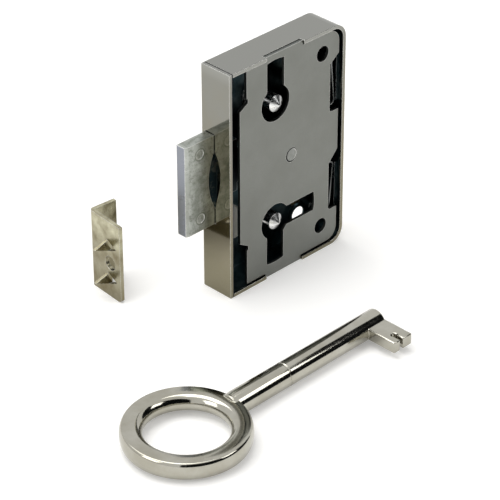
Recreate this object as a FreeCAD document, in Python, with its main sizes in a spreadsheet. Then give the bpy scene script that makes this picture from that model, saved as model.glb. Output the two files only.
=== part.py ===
"""Cupboard rim lock with its pipe key and angle strike plate.

Millimetres, +Z up. The lock stands on its bottom wall, and the row's origin is the
centre of that wall's outer face. The lock's own datum is used for its sizes: X runs
from the forend's outer face to the far wall, Y from the door face to the back plate,
Z from the bottom wall up. The bolt is thrown towards -X, and the key enters along +Y.
"""
import FreeCAD, Part
import math
import os
import Sketcher

doc = FreeCAD.newDocument("cupboard_rim_lock")
sheet = doc.addObject("Spreadsheet::Sheet", "dims")
nodes = []

sizes = {
    # Case: a folded tray of nickelled sheet
    "case_width": 38.4,
    "case_depth": 9.4,
    "case_height": 60.0,
    "case_sheet": 0.9,
    "case_corner_radius": 4.0,
    "case_bend_radius": 0.5,
    "seam_gap": 0.15,
    "axis_height": 30.8,
    "fixing_height": 30.2,

    # Cover plate, let into the open side of the tray
    "cover_sheet": 0.8,
    "cover_recess": 0.5,
    "cover_left": 3.8,
    "cover_edge_gap": 0.4,
    "cover_side_gap": 0.9,
    "cover_corner_radius": 3.2,
    "cover_cut_depth": 2.2,
    "cover_upper_cut": 9.6,
    "cover_lower_cut": 11.8,
    "cover_cut_slope": 1.5,
    "cover_relief_depth": 0.4,
    "cover_relief_length": 1.1,
    "tab_left": 12.2,
    "tab_right": 24.2,
    "tab_gap": 0.15,
    "tab_shy": 0.1,
    "window_left": 33.7,
    "window_radius": 0.9,
    "upper_window_top": 52.2,
    "upper_window_slope": 2.2,
    "upper_window_bottom": 37.1,
    "lower_window_top": 26.2,
    "lower_window_slope": 3.2,
    "lower_window_bottom": 9.9,
    "guide_tab_top": 7.8,
    "guide_tab_bottom": 14.2,
    "guide_tab_foot": 16.7,
    "guide_tab_neck": 2.2,
    "guide_tab_air": 0.3,
    "guide_tab_sheet": 0.6,

    # Keyholes and the posts that the key turns on
    "key_backset": 15.4,
    "post_pitch": 32.0,
    "keyhole_radius": 4.6,
    "keyway_width": 5.6,
    "keyway_reach": 11.5,
    "drawer_way_width": 5.2,
    "drawer_way_reach": 13.4,
    "post_radius": 2.1,
    "post_tip": -0.9,
    "post_cone": 1.35,
    "post_collar_radius": 3.3,
    "post_collar": 0.5,
    "post_stem_radius": 1.5,
    "rivet_head_radius": 2.4,
    "rivet_head": 0.35,
    "fit_gap": 0.03,

    # Fixing holes, pressed to take countersunk screws
    "screw_radius": 2.0,
    "screw_right": 31.05,
    "screw_right_rise": 23.6,
    "screw_left": 6.6,
    "screw_left_rise": 20.4,
    "dimple_radius": 3.1,
    "dimple_height": 0.4,
    "countersink_radius": 3.0,

    # Centre rivet, which ties the cover to the case and guides the bolt
    "rivet_place": 20.85,
    "rivet_radius": 1.85,
    "rivet_stem_radius": 1.3,
    "pin_head_radius": 1.7,

    # Bolt: a zinc casting with a thick head and a thin tail
    "bolt_throw": 9.2,
    "bolt_half_height": 11.95,
    "bolt_thickness": 2.9,
    "bolt_back_gap": 0.5,
    "bolt_slot_gap": 0.12,
    "bolt_head_inside": 0.6,
    "bolt_chamfer": 0.3,
    "bolt_chamfer_length": 0.9,
    "bolt_scoop_half": 8.6,
    "bolt_scoop_depth": 2.5,
    "forend_scoop_half": 7.5,
    "forend_scoop_depth": 0.75,
    "ejector_radius": 1.15,
    "ejector_depth": 0.12,
    "ejector_inset": 4.6,
    "ejector_rise": 8.6,
    "tail_thickness": 1.6,
    "tail_shoulder": 5.0,
    "tail_half_height": 7.0,
    "tail_end": 26.6,
    "tail_radius": 1.2,
    "talon_left": 8.6,
    "talon_width": 4.2,
    "talon_depth": 2.2,
    "slide_gap": 0.2,

    # Levers, one for each key post, with a lug that drops into the bolt's tail
    "lever_thickness": 1.2,
    "lever_gap": 0.3,
    "lever_pivot_x": 31.0,
    "lever_pivot_rise": 9.5,
    "lever_pin_radius": 1.0,
    "lever_pin_gap": 0.05,
    "lever_side_gap": 0.1,
    "lever_belly_gap": 0.2,
    "lever_shoulder_turn": 24.0,
    "lever_left": 20.2,
    "lever_foot_rise": 2.6,
    "lever_heel": 29.5,
    "lever_nose_x": 34.7,
    "lever_nose_low": 6.8,
    "lever_nose_high": 9.2,
    "lever_crown": 2.4,
    "lug_radius": 0.6,
    "lug_x": 24.6,
    "lug_rise": 3.7,
    "lug_gap": 0.2,
    "lug_drop": 1.05,

    # Leaf springs of the levers, and the pegs that hold their bends
    "spring_sheet": 0.35,
    "spring_front": 1.7,
    "spring_width": 4.2,
    "spring_wall_gap": 0.1,
    "spring_foot_rise": 8.6,
    "spring_bend": 1.1,
    "spring_bend_rise": 23.4,
    "spring_knee_inset": 1.2,
    "spring_knee_rise": 10.0,
    "spring_tip_inset": 2.25,
    "spring_tip_rise": 7.9,
    "spring_curl": 1.4,
    "peg_gap": 0.2,
    "peg_top": 1.6,

    # Ward bridges, whose fingers enter the slit of the key's bit
    "ward_finger_sheet": 0.7,
    "ward_slit_gap": 0.2,
    "ward_half_width": 1.5,
    "ward_point": 1.4,
    "ward_pillar_left": 26.6,
    "ward_pillar_sheet": 1.0,
    "ward_tenon_half": 0.9,

    # Key: ring bow, bored shank and slit bit
    "key_length": 61.3,
    "bow_radius": 14.8,
    "bow_hole_radius": 10.15,
    "bow_thickness": 5.8,
    "bow_flat_inner": 11.6,
    "bow_flat_outer": 13.65,
    "bow_shoulder_inner": 10.5,
    "bow_shoulder_outer": 14.5,
    "bow_shoulder": 0.6,
    "shank_radius": 3.0,
    "shank_root": 12.3,
    "shank_round": 0.5,
    "shank_line_place": 30.1,
    "shank_line_width": 0.4,
    "shank_line_depth": 0.15,
    "key_bore_radius": 2.2,
    "key_bore_depth": 13.0,
    "bit_width": 5.9,
    "bit_thickness": 2.9,
    "bit_reach": 10.9,
    "slit_place": 3.4,
    "slit_width": 1.1,
    "slit_depth": 2.9,
    "bit_groove_width": 0.5,
    "bit_groove_depth": 0.3,
    "key_x": -46.7,
    "key_y": -33.7,
    "key_turn": 0.2,

    # Strike plate: an angle with two claws
    "strike_height": 20.9,
    "strike_sheet": 1.0,
    "strike_leg": 11.6,
    "strike_catch": 7.3,
    "strike_fold": 1.2,
    "strike_corner": 1.0,
    "strike_hole_radius": 1.9,
    "strike_hole_place": 7.8,
    "strike_hole_rise": 9.5,
    "claw_place": 6.3,
    "claw_pitch": 9.2,
    "claw_base": 2.9,
    "claw_length": 3.9,
    "claw_sheet": 0.8,
    "strike_x": -18.7,
    "strike_y": 28.5,
    "strike_turn": -5.0,
}

# Every size above has a cell, which expressions read as dims.name
for row, name in enumerate(sizes, start=1):
    sheet.set("A%d" % row, name)
    sheet.set("B%d" % row, str(sizes[name]))
    sheet.setAlias("B%d" % row, name)
doc.recompute()


def value(expression):
    """The present number of an expression in the sheet's sizes."""
    return float(sheet.evalExpression(str(expression)))


def bind(thing, name, expression):
    """Tie one property to an expression, or set it where the expression is a plain number."""
    thing.setExpression(name, str(expression))


# Sketching

def plane_of(body, role):
    """One of a body's own origin planes, found by its role."""
    return [part for part in body.Origin.OriginFeatures if part.Role == role][0]


def new_body(label, x="0", y="0", z="0", of_lock=True):
    """A body at a point of the lock's datum, which the row's frame holds off centre."""
    body = doc.addObject("PartDesign::Body", label)
    body.Label = label
    shift_x = "- dims.case_width / 2" if of_lock else ""
    shift_y = "- dims.case_depth / 2" if of_lock else ""
    bind(body, "Placement.Base.x", "%s %s" % (x, shift_x))
    bind(body, "Placement.Base.y", "%s %s" % (y, shift_y))
    bind(body, "Placement.Base.z", z)
    nodes.append(body)
    return body


def new_sketch(body, role, offset="0"):
    """A sketch on one of the body's planes, moved along that plane's normal."""
    sketch = body.newObject("Sketcher::SketchObject", body.Name + "_sketch")
    sketch.AttachmentSupport = [(plane_of(body, role), "")]
    sketch.MapMode = "FlatFace"
    bind(sketch, "AttachmentOffset.Base.z", offset)
    return sketch


def pin_point(sketch, geometry, vertex, x, y):
    """Hold one vertex of a sketch at two expressions, measured from its origin."""
    for kind, expression in (("DistanceX", x), ("DistanceY", y)):
        index = sketch.addConstraint(Sketcher.Constraint(kind, -1, 1, geometry, vertex, value(expression)))
        sketch.setExpression("Constraints[%d]" % index, str(expression))


def arc_between(start, end, radius, side):
    """The short arc between two points, with its centre on the left (+1) or right (-1)."""
    chord = end - start
    height = math.sqrt(max(radius ** 2 - (chord.Length / 2) ** 2, 0.0))
    left = FreeCAD.Vector(-chord.y, chord.x, 0).normalize()
    centre = (start + end) * 0.5 + left * height * side
    first, second = (start, end) if side > 0 else (end, start)
    angles = [math.atan2(point.y - centre.y, point.x - centre.x) for point in (first, second)]
    circle = Part.Circle(centre, FreeCAD.Vector(0, 0, 1), radius)
    return Part.ArcOfCircle(circle, angles[0], angles[1])


def outline(sketch, points, closed=True):
    """Lines and arcs through points (x, y) or (x, y, radius, side of the arc's centre)."""
    corners = [FreeCAD.Vector(value(point[0]), value(point[1]), 0) for point in points]
    count = len(points) if closed else len(points) - 1
    edges = []
    for index in range(count):
        start, end = corners[index], corners[(index + 1) % len(points)]
        if len(points[index]) == 2:
            geometry = sketch.addGeometry(Part.LineSegment(start, end))
            edges.append((geometry, 1, 2))
        else:
            radius, side = points[index][2], points[index][3]
            geometry = sketch.addGeometry(arc_between(start, end, value(radius), side))
            edges.append((geometry, 1, 2) if side > 0 else (geometry, 2, 1))
    for index in range(count):
        if closed or index:
            before = edges[index - 1]
            here = edges[index]
            sketch.addConstraint(Sketcher.Constraint("Coincident", before[0], before[2], here[0], here[1]))
        pin_point(sketch, edges[index][0], edges[index][1], points[index][0], points[index][1])
    if not closed:
        pin_point(sketch, edges[-1][0], edges[-1][2], points[-1][0], points[-1][1])
    for index in range(count):
        if len(points[index]) > 2:
            radius = points[index][2]
            held = sketch.addConstraint(Sketcher.Constraint("Radius", edges[index][0], value(radius)))
            sketch.setExpression("Constraints[%d]" % held, str(radius))
    return sketch


def circle(sketch, x, y, radius):
    """A circle held by its centre and radius."""
    centre = FreeCAD.Vector(value(x), value(y), 0)
    geometry = sketch.addGeometry(Part.Circle(centre, FreeCAD.Vector(0, 0, 1), value(radius)))
    pin_point(sketch, geometry, 3, x, y)
    held = sketch.addConstraint(Sketcher.Constraint("Radius", geometry, value(radius)))
    sketch.setExpression("Constraints[%d]" % held, str(radius))
    return sketch


def rectangle(left, low, right, high):
    """The corners of an upright rectangle."""
    return [(left, low), (right, low), (right, high), (left, high)]


# Features

def extrude(body, sketch, length, cut=False, reverse=False, both_ways=False):
    """A pad or a pocket, which has to change the body's volume."""
    doc.recompute()
    before = body.Shape.Volume if body.Tip else 0.0
    feature = body.newObject("PartDesign::Pocket" if cut else "PartDesign::Pad", body.Name + "_feature")
    feature.Profile = sketch
    bind(feature, "Length", length)
    feature.Reversed = reverse
    feature.Midplane = both_ways
    doc.recompute()
    if abs(body.Shape.Volume - before) < 1e-6:
        raise RuntimeError("%s: a feature changed nothing" % body.Label)
    return feature


def slab(body, near, thickness, points):
    """Add a plate that lies across Y, from the depth near into the lock."""
    sketch = outline(new_sketch(body, "XZ_Plane", "-(%s)" % near), points)
    return extrude(body, sketch, thickness, reverse=True)


def slab_cut(body, near, thickness, points):
    """Cut a plate-shaped pocket that lies across Y, from the depth near into the lock."""
    sketch = outline(new_sketch(body, "XZ_Plane", "-(%s)" % near), points)
    return extrude(body, sketch, thickness, cut=True)


def round_slab(body, near, thickness, x, z, radius, cut=False):
    """Add or cut a disc across Y, from the depth near into the lock."""
    sketch = circle(new_sketch(body, "XZ_Plane", "-(%s)" % near), x, z, radius)
    return extrude(body, sketch, thickness, cut=cut, reverse=not cut)


def cone_across(body, kind, x, z, depth, radius, end_radius, length):
    """A cone primitive from a depth towards the door face."""
    feature = body.newObject("PartDesign::%sCone" % kind, body.Name + "_cone")
    feature.AttachmentSupport = [(plane_of(body, "XZ_Plane"), "")]
    feature.MapMode = "FlatFace"
    bind(feature, "AttachmentOffset.Base.x", x)
    bind(feature, "AttachmentOffset.Base.y", z)
    bind(feature, "AttachmentOffset.Base.z", "-(%s)" % depth)
    bind(feature, "Radius1", radius)
    bind(feature, "Radius2", end_radius)
    bind(feature, "Height", length)
    doc.recompute()
    return feature


def turned(label, x, z, profile):
    """A part turned about a Y axis through (x, z) of the lock: profile holds radius, depth."""
    body = new_body(label, x, "0", z)
    sketch = outline(new_sketch(body, "XY_Plane"), profile)
    feature = body.newObject("PartDesign::Revolution", label + "_turned")
    feature.Profile = sketch
    feature.ReferenceAxis = (sketch, ["V_Axis"])
    feature.Angle = 360
    doc.recompute()
    return body


def dress(body, kind, edge_test, amount):
    """Fillet or chamfer the edges that a test picks from the body's present shape."""
    doc.recompute()
    base = body.Tip
    local = base.Shape
    picked = ["Edge%d" % (index + 1) for index, edge in enumerate(local.Edges) if edge_test(edge)]
    if not picked:
        raise RuntimeError("%s: no edge to %s" % (body.Label, kind))
    feature = body.newObject("PartDesign::" + kind, body.Name + "_" + kind.lower())
    feature.Base = (base, picked)
    bind(feature, "Radius" if kind == "Fillet" else "Size", amount)
    doc.recompute()
    return feature


def near(a, b):
    """Whether two lengths are the same for picking an edge."""
    return abs(a - b) < 1e-4


# Levels and places that several parts share

cover_front = "dims.cover_recess"
cover_back = "(dims.cover_recess + dims.cover_sheet)"
floor_level = "(dims.case_depth - dims.case_sheet)"
bolt_back = "(%s - dims.bolt_back_gap)" % floor_level
bolt_front = "(%s - dims.bolt_thickness)" % bolt_back
tail_front = "(%s - dims.tail_thickness)" % bolt_back
lever_back = "(%s - dims.lever_gap)" % tail_front
lever_front = "(%s - dims.lever_thickness)" % lever_back
collar_front = "(%s - dims.post_collar)" % floor_level
wall_right = "(dims.case_width - dims.case_sheet)"
cover_right = "(%s - dims.cover_side_gap)" % wall_right
SIDES = {"upper": "+", "lower": "-"}


def rise(side, amount):
    """A height measured from the lock's axis, up or down."""
    return "(dims.axis_height %s (%s))" % (SIDES[side], amount)


def fixing(side, amount):
    """A height measured from the middle of the fixing holes, up or down."""
    return "(dims.fixing_height %s (%s))" % (SIDES[side], amount)


def post_height(side):
    """The height of a key post."""
    return rise(side, "dims.post_pitch / 2")


# Case tray

def rounded_back(inset):
    """The tray's outline seen from the door: square at the forend, rounded at the far wall."""
    low = inset
    high = "(dims.case_height - %s)" % inset
    right = "(dims.case_width - %s)" % inset
    radius = "(dims.case_corner_radius - %s)" % inset
    return [(inset, low),
            ("%s - %s" % (right, radius), low, radius, 1),
            (right, "%s + %s" % (low, radius)),
            (right, "%s - %s" % (high, radius), radius, 1),
            ("%s - %s" % (right, radius), high),
            (inset, high)]


def make_case():
    """The tray: back plate, three drawn walls and the forend folded up to meet them."""
    body = new_body("case_tray")
    slab(body, "0", "dims.case_depth", rounded_back("0"))
    back = value("dims.case_depth")
    dress(body, "Fillet", lambda edge: near(edge.BoundBox.YMin, back) and near(edge.BoundBox.YMax, back),
          "dims.case_bend_radius")
    slab_cut(body, "0", floor_level, rounded_back("dims.case_sheet"))
    for x, height in (("dims.screw_right", "dims.screw_right_rise"),
                      ("dims.screw_left", "dims.screw_left_rise")):
        for side in SIDES:
            add_dimple(body, x, fixing(side, height))
    cut_forend(body)
    for low, high in (("-1", "dims.case_sheet + 1"),
                      ("dims.case_height - dims.case_sheet - 1", "dims.case_height + 1")):
        slab_cut(body, "0", "%s + dims.tab_gap" % cover_back,
                 rectangle("dims.tab_left - dims.tab_gap", low, "dims.tab_right + dims.tab_gap", high))
    for low in ("0", "dims.case_height - dims.case_sheet"):
        slab_cut(body, "0", floor_level,
                 rectangle("dims.case_sheet", low,
                           "dims.case_sheet + dims.seam_gap", "%s + dims.case_sheet" % low))
    for x, z, radius in rivet_holes():
        round_slab(body, "0", "dims.case_depth", x, z, "%s + dims.fit_gap" % radius, cut=True)
    for side in SIDES:
        slab_cut(body, "0", "dims.case_depth", ward_tenon(side, "dims.fit_gap"))
    return body


def add_dimple(body, x, z):
    """A hole pressed inwards, so that a countersunk screw head lies flush with the back."""
    cone_across(body, "Additive", x, z, floor_level, "dims.dimple_radius",
                "dims.dimple_radius - dims.dimple_height", "dims.dimple_height")
    cone_across(body, "Subtractive", x, z, "dims.case_depth", "dims.countersink_radius", "dims.screw_radius",
                "dims.countersink_radius - dims.screw_radius")
    round_slab(body, "0", "dims.case_depth", x, z, "dims.screw_radius", cut=True)


def scoop_radius(half, depth):
    """The radius of an arc from its half chord and its height."""
    return "((%s ^ 2 + %s ^ 2) / (2 * %s))" % (half, depth, depth)


def cut_forend(body):
    """The bolt's slot in the forend, with a shallow scoop in its door-side edge."""
    low = "dims.axis_height - dims.bolt_half_height - dims.bolt_slot_gap"
    high = "dims.axis_height + dims.bolt_half_height + dims.bolt_slot_gap"
    edge = "%s - dims.bolt_slot_gap" % bolt_front
    back = "%s + dims.bolt_slot_gap" % bolt_back
    radius = scoop_radius("dims.forend_scoop_half", "dims.forend_scoop_depth")
    sketch = new_sketch(body, "YZ_Plane", "-1")
    outline(sketch, [(edge, low),
                     (back, low),
                     (back, high),
                     (edge, high),
                     (edge, "dims.axis_height + dims.forend_scoop_half", radius, 1),
                     (edge, "dims.axis_height - dims.forend_scoop_half")])
    extrude(body, sketch, "dims.case_sheet + 2", cut=True, reverse=True)


def rivet_holes():
    """Every round hole that a riveted stem fills in the back plate: x, z, stem radius."""
    holes = [("dims.rivet_place", "dims.axis_height", "dims.rivet_stem_radius")]
    for side in SIDES:
        holes.append(("dims.key_backset", post_height(side), "dims.post_stem_radius"))
        holes.append(("dims.lever_pivot_x", rise(side, "dims.lever_pivot_rise"), "dims.lever_pin_radius"))
        holes.append((peg_place(side)[0], peg_place(side)[1], "dims.lever_pin_radius"))
    return holes


# Cover plate

def make_cover():
    """The cover, with keyholes, spring windows, staking tabs and a bolt guide."""
    body = new_body("cover_plate")
    low = "(dims.case_sheet + dims.cover_edge_gap)"
    high = "(dims.case_height - dims.case_sheet - dims.cover_edge_gap)"
    tab_low = "dims.tab_shy"
    tab_high = "(dims.case_height - dims.tab_shy)"
    cut = "(dims.cover_left + dims.cover_cut_depth)"
    relief = "(%s + dims.cover_relief_depth)" % cut
    upper_cut = "(dims.case_height - dims.cover_upper_cut)"
    lower_cut = "dims.cover_lower_cut"
    radius = "dims.cover_corner_radius"
    points = [("dims.cover_left", "%s + dims.cover_cut_slope" % lower_cut),
              (relief, lower_cut),
              (relief, "%s - dims.cover_relief_length" % lower_cut),
              (cut, "%s - dims.cover_relief_length" % lower_cut),
              (cut, low),
              ("dims.tab_left", low), ("dims.tab_left", tab_low),
              ("dims.tab_right", tab_low), ("dims.tab_right", low),
              ("%s - %s" % (cover_right, radius), low, radius, 1),
              (cover_right, "%s + %s" % (low, radius))]
    points += spring_window("lower") + spring_window("upper")
    points += [(cover_right, "%s - %s" % (high, radius), radius, 1),
               ("%s - %s" % (cover_right, radius), high),
               ("dims.tab_right", high), ("dims.tab_right", tab_high),
               ("dims.tab_left", tab_high), ("dims.tab_left", high),
               (cut, high),
               (cut, "%s + dims.cover_relief_length" % upper_cut),
               (relief, "%s + dims.cover_relief_length" % upper_cut),
               (relief, upper_cut),
               ("dims.cover_left", "%s - dims.cover_cut_slope" % upper_cut)]
    slab(body, cover_front, "dims.cover_sheet", points)
    for side in SIDES:
        round_slab(body, "0", cover_back, "dims.key_backset", post_height(side),
                   "dims.keyhole_radius", cut=True)
        slab_cut(body, "0", cover_back, upright_keyway(side))
        round_slab(body, "0", cover_back, "dims.screw_right", fixing(side, "dims.screw_right_rise"),
                   "dims.screw_radius", cut=True)
    slab_cut(body, "0", cover_back, drawer_keyway())
    round_slab(body, "0", cover_back, "dims.rivet_place", "dims.axis_height",
               "dims.rivet_radius + dims.fit_gap", cut=True)
    add_guide_tab(body)
    return body


def spring_window(side):
    """A notch in the cover's far edge, through which a spring is set: its upper end slopes."""
    top = "dims.%s_window_top" % side
    slope = "dims.%s_window_slope" % side
    bottom = "dims.%s_window_bottom" % side
    radius = "dims.window_radius"
    return [(cover_right, bottom),
            ("dims.window_left + %s" % radius, bottom, radius, -1),
            ("dims.window_left", "%s + %s" % (bottom, radius)),
            ("dims.window_left", "%s - %s" % (top, slope)),
            (cover_right, top)]


def upright_keyway(side):
    """The slot that lets the bit in, away from the lock's axis, ending in an arc."""
    half = "(dims.keyway_width / 2)"
    root = post_height(side)
    shoulder = "sqrt(dims.keyway_reach ^ 2 - %s ^ 2)" % half
    far = "(%s %s %s)" % (root, SIDES[side], shoulder)
    left = "dims.key_backset - %s" % half
    right = "dims.key_backset + %s" % half
    turn = 1 if side == "upper" else -1
    return [(left, root), (right, root), (right, far, "dims.keyway_reach", turn), (left, far)]


def drawer_keyway():
    """The level slot beside the lower post, which serves a drawer."""
    half = "(dims.drawer_way_width / 2)"
    root = post_height("lower")
    far = "(dims.key_backset + sqrt(dims.drawer_way_reach ^ 2 - %s ^ 2))" % half
    low = "%s - %s" % (root, half)
    high = "%s + %s" % (root, half)
    return [("dims.key_backset", low),
            (far, low, "dims.drawer_way_reach", 1),
            (far, high),
            ("dims.key_backset", high)]


def add_guide_tab(body):
    """A tab bent inwards at the cover's near edge, which holds the bolt against the back plate."""
    deep = "(%s - dims.guide_tab_air)" % bolt_front
    neck = "(%s + dims.guide_tab_neck)" % cover_front
    top = "dims.axis_height - dims.guide_tab_top"
    sketch = new_sketch(body, "YZ_Plane", "dims.cover_left")
    outline(sketch, [(cover_front, "dims.axis_height - dims.guide_tab_bottom"),
                     (neck, "dims.axis_height - dims.guide_tab_foot"),
                     (deep, "dims.axis_height - dims.guide_tab_foot"),
                     (deep, top),
                     (cover_front, top)])
    extrude(body, sketch, "dims.guide_tab_sheet")


# Turned parts

def make_post(side):
    """A key post: pointed pin, collar that stops the key, and a stem riveted behind."""
    outer = "(dims.case_depth + dims.rivet_head)"
    cone = "(dims.post_tip + dims.post_cone)"
    return turned(side + "_key_post", "dims.key_backset", post_height(side),
                  [("0", "dims.post_tip"),
                   ("0", outer),
                   ("dims.rivet_head_radius - dims.rivet_head", outer),
                   ("dims.rivet_head_radius", "dims.case_depth"),
                   ("dims.post_stem_radius", "dims.case_depth"),
                   ("dims.post_stem_radius", floor_level),
                   ("dims.post_collar_radius", floor_level),
                   ("dims.post_collar_radius", collar_front),
                   ("dims.post_radius", collar_front),
                   ("dims.post_radius", cone)])


def make_centre_rivet():
    """The rivet between the plates, seen flush in the cover."""
    outer = "(dims.case_depth + dims.rivet_head)"
    return turned("centre_rivet", "dims.rivet_place", "dims.axis_height",
                  [("0", cover_front),
                   ("0", outer),
                   ("dims.rivet_head_radius - dims.rivet_head", outer),
                   ("dims.rivet_head_radius", "dims.case_depth"),
                   ("dims.rivet_stem_radius", "dims.case_depth"),
                   ("dims.rivet_stem_radius", floor_level),
                   ("dims.rivet_radius", floor_level),
                   ("dims.rivet_radius", cover_front)])


def make_lever_pin(side):
    """A shouldered pin that carries a lever above the bolt's tail."""
    outer = "(dims.case_depth + dims.rivet_head)"
    journal = "(%s + dims.lever_side_gap)" % lever_back
    head = "(%s - dims.lever_side_gap)" % lever_front
    return turned(side + "_lever_pin", "dims.lever_pivot_x", rise(side, "dims.lever_pivot_rise"),
                  [("0", "%s - dims.rivet_head" % head),
                   ("0", outer),
                   ("dims.pin_head_radius", outer),
                   ("dims.pin_head_radius", "dims.case_depth"),
                   ("dims.lever_pin_radius", "dims.case_depth"),
                   ("dims.lever_pin_radius", floor_level),
                   ("dims.pin_head_radius", floor_level),
                   ("dims.pin_head_radius", journal),
                   ("dims.lever_pin_radius", journal),
                   ("dims.lever_pin_radius", head),
                   ("dims.pin_head_radius", head),
                   ("dims.pin_head_radius", "%s - dims.rivet_head" % head)])


def peg_place(side):
    """The axis of a spring peg, inside the bend of its spring."""
    x = "(%s - dims.spring_wall_gap - dims.spring_sheet / 2 - dims.spring_bend)" % wall_right
    return x, fixing(side, "dims.spring_bend_rise")


def make_spring_peg(side):
    """A peg riveted to the back plate, which a leaf spring is bent round."""
    outer = "(dims.case_depth + dims.rivet_head)"
    radius = "(dims.spring_bend - dims.spring_sheet / 2 - dims.peg_gap)"
    x, z = peg_place(side)
    return turned(side + "_spring_peg", x, z,
                  [("0", "dims.peg_top"),
                   ("0", outer),
                   ("dims.pin_head_radius", outer),
                   ("dims.pin_head_radius", "dims.case_depth"),
                   ("dims.lever_pin_radius", "dims.case_depth"),
                   ("dims.lever_pin_radius", floor_level),
                   (radius, floor_level),
                   (radius, "dims.peg_top")])


# Bolt

def make_bolt():
    """The bolt, thrown: its head fills the forend's slot, and its tail slides on the back plate."""
    body = new_body("bolt")
    low = "(dims.axis_height - dims.bolt_half_height)"
    high = "(dims.axis_height + dims.bolt_half_height)"
    tip = "(-dims.bolt_throw)"
    inside = "dims.bolt_head_inside"
    radius = scoop_radius("dims.bolt_scoop_half", "dims.bolt_scoop_depth")
    slab(body, bolt_front, "dims.bolt_thickness",
         [(tip, low), (inside, low),
          (inside, "dims.axis_height - dims.bolt_scoop_half", radius, -1),
          (inside, "dims.axis_height + dims.bolt_scoop_half"),
          (inside, high), (tip, high)])
    bevel = outline(new_sketch(body, "XY_Plane", low),
                    [(tip, bolt_front),
                     ("%s + dims.bolt_chamfer_length" % tip, bolt_front),
                     (tip, "%s + dims.bolt_chamfer" % bolt_front)])
    extrude(body, bevel, "2 * dims.bolt_half_height", cut=True, reverse=True)
    slab(body, tail_front, "dims.tail_thickness", tail_outline())
    end_x = value("dims.tail_end")
    dress(body, "Fillet", lambda edge: near(edge.BoundBox.XMin, end_x) and near(edge.BoundBox.ZLength, 0),
          "dims.tail_radius")
    for side in SIDES:
        round_slab(body, "%s - 1" % bolt_front, "1 + dims.ejector_depth", "-dims.ejector_inset",
                   rise(side, "dims.ejector_rise"), "dims.ejector_radius", cut=True)
        slab_cut(body, "0", "dims.case_depth", lug_window(side))
    slab_cut(body, "0", "dims.case_depth", rivet_slot())
    return body


def tail_outline():
    """The tail with a talon notch on each edge, from the lower shoulder round to the upper."""
    def half(side):
        return [("-1", rise(side, "dims.bolt_half_height")),
                ("dims.tail_shoulder", rise(side, "dims.bolt_half_height")),
                ("dims.tail_shoulder", rise(side, "dims.tail_half_height")),
                ("dims.talon_left", rise(side, "dims.tail_half_height")),
                ("dims.talon_left", rise(side, "dims.tail_half_height - dims.talon_depth")),
                ("dims.talon_left + dims.talon_width", rise(side, "dims.tail_half_height - dims.talon_depth")),
                ("dims.talon_left + dims.talon_width", rise(side, "dims.tail_half_height")),
                ("dims.tail_end", rise(side, "dims.tail_half_height"))]
    return half("lower") + half("upper")[::-1]


def rivet_slot():
    """The level slot in which the centre rivet runs as the bolt is thrown."""
    reach = "(dims.rivet_radius + dims.slide_gap)"
    left = "dims.rivet_place - dims.bolt_throw"
    return [(left, rise("lower", reach)),
            ("dims.rivet_place", rise("lower", reach), reach, 1),
            ("dims.rivet_place + %s" % reach, "dims.axis_height", reach, 1),
            ("dims.rivet_place", rise("upper", reach)),
            (left, rise("upper", reach), reach, 1),
            ("%s - %s" % (left, reach), "dims.axis_height", reach, 1)]


def lug_window(side):
    """The lug's passage in the tail, with a notch at each end of the throw."""
    reach = "(dims.lug_radius + dims.lug_gap)"
    far = "dims.lug_x"
    near_end = "(dims.lug_x - dims.bolt_throw)"
    drift = "(%s + dims.lug_drop)" % reach
    floor = rise(side, "dims.lug_rise - %s" % reach)
    roof = rise(side, "dims.lug_rise + %s" % reach)
    notch = rise(side, "dims.lug_rise + %s" % drift)
    return [("%s - %s" % (near_end, drift), floor),
            ("%s + %s" % (far, reach), floor),
            ("%s + %s" % (far, reach), notch),
            ("%s - %s" % (far, drift), notch),
            ("%s - %s" % (far, drift), roof),
            ("%s + %s" % (near_end, reach), roof),
            ("%s + %s" % (near_end, reach), notch),
            ("%s - %s" % (near_end, drift), notch)]


# Levers and springs

def make_lever(side):
    """A lever with a belly that clears the key's sweep, a nose for its spring and a lug."""
    body = new_body(side + "_lever")
    sweep = "(dims.bit_reach + dims.lever_belly_gap)"
    shoulder_x = "(dims.key_backset + %s * cos(dims.lever_shoulder_turn))" % sweep
    shoulder = rise(side, "dims.post_pitch / 2 - %s * sin(dims.lever_shoulder_turn)" % sweep)
    half_chord = "sqrt(%s ^ 2 - (dims.lever_left - dims.key_backset) ^ 2)" % sweep
    belly_foot = rise(side, "dims.post_pitch / 2 - %s" % half_chord)
    foot = rise(side, "dims.lever_foot_rise")
    crown = rise(side, "dims.lever_pivot_rise + dims.lever_crown")
    slab(body, lever_front, "dims.lever_thickness",
         [("dims.lever_left", foot),
          ("dims.lever_heel", foot),
          ("dims.lever_nose_x", rise(side, "dims.lever_nose_low")),
          ("dims.lever_nose_x", rise(side, "dims.lever_nose_high")),
          ("dims.lever_pivot_x + dims.lever_crown", crown),
          ("dims.lever_pivot_x - dims.lever_crown / 2", crown),
          (shoulder_x, shoulder, sweep, -1 if side == "upper" else 1),
          ("dims.lever_left", belly_foot)])
    round_slab(body, lever_back, "%s - %s - dims.slide_gap" % (floor_level, lever_back),
               "dims.lug_x", rise(side, "dims.lug_rise"), "dims.lug_radius")
    round_slab(body, "0", "dims.case_depth", "dims.lever_pivot_x", rise(side, "dims.lever_pivot_rise"),
               "dims.lever_pin_radius + dims.lever_pin_gap", cut=True)
    return body


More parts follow.
